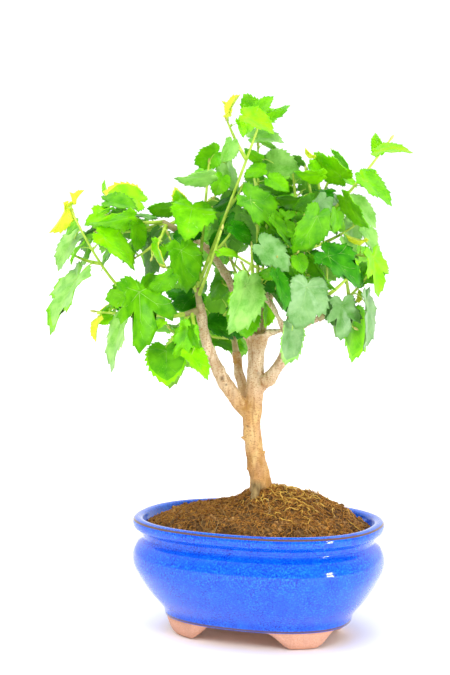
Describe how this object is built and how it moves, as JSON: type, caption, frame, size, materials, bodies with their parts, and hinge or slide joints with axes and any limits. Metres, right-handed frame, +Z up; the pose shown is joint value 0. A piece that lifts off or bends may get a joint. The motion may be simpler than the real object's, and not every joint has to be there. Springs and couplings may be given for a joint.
{
  "type": "mulberry bonsai in an oval glazed pot",
  "caption": "Young mulberry trained as a bonsai: leaning trunk that forks low into boughs, lobed leaves in an open crown, soil mound and oval footed pot.",
  "frame": {"origin": "on the ground under the middle of the whole plant's box, so the pot's feet stand on Z = 0", "axes": "+Z up, +X to the right and +Y away from the viewer in the picture's view"},
  "size_m": [0.2198, 0.1822, 0.3293],
  "materials": {
    "glaze": "glossy cobalt-blue glaze over terracotta, with bare clay feet",
    "peat": "loose dark brown peat with pale rootlets",
    "bark": "thin pale tan bark with lenticels and small knots",
    "foliage": "soft green lobed leaves with a light gloss, lime at the young tips"
  },
  "bodies": {
    "root": {"pot": "glaze", "soil": "peat", "trunk": "bark", "left_bough": "bark", "rear_left_bough": "bark", "right_bough": "bark", "right_upright": "bark", "right_stub": "bark", "right_arm": "bark", "upper_left_limb": "bark", "back_limb": "bark", "top_leaves": "foliage", "left_leaves": "foliage", "upper_left_leaves": "foliage", "rear_left_leaves": "foliage", "centre_leaves": "foliage", "front_leaves": "foliage", "upper_right_leaves": "foliage", "lower_right_leaves": "foliage", "back_leaves": "foliage"}
  },
  "joints": []
}
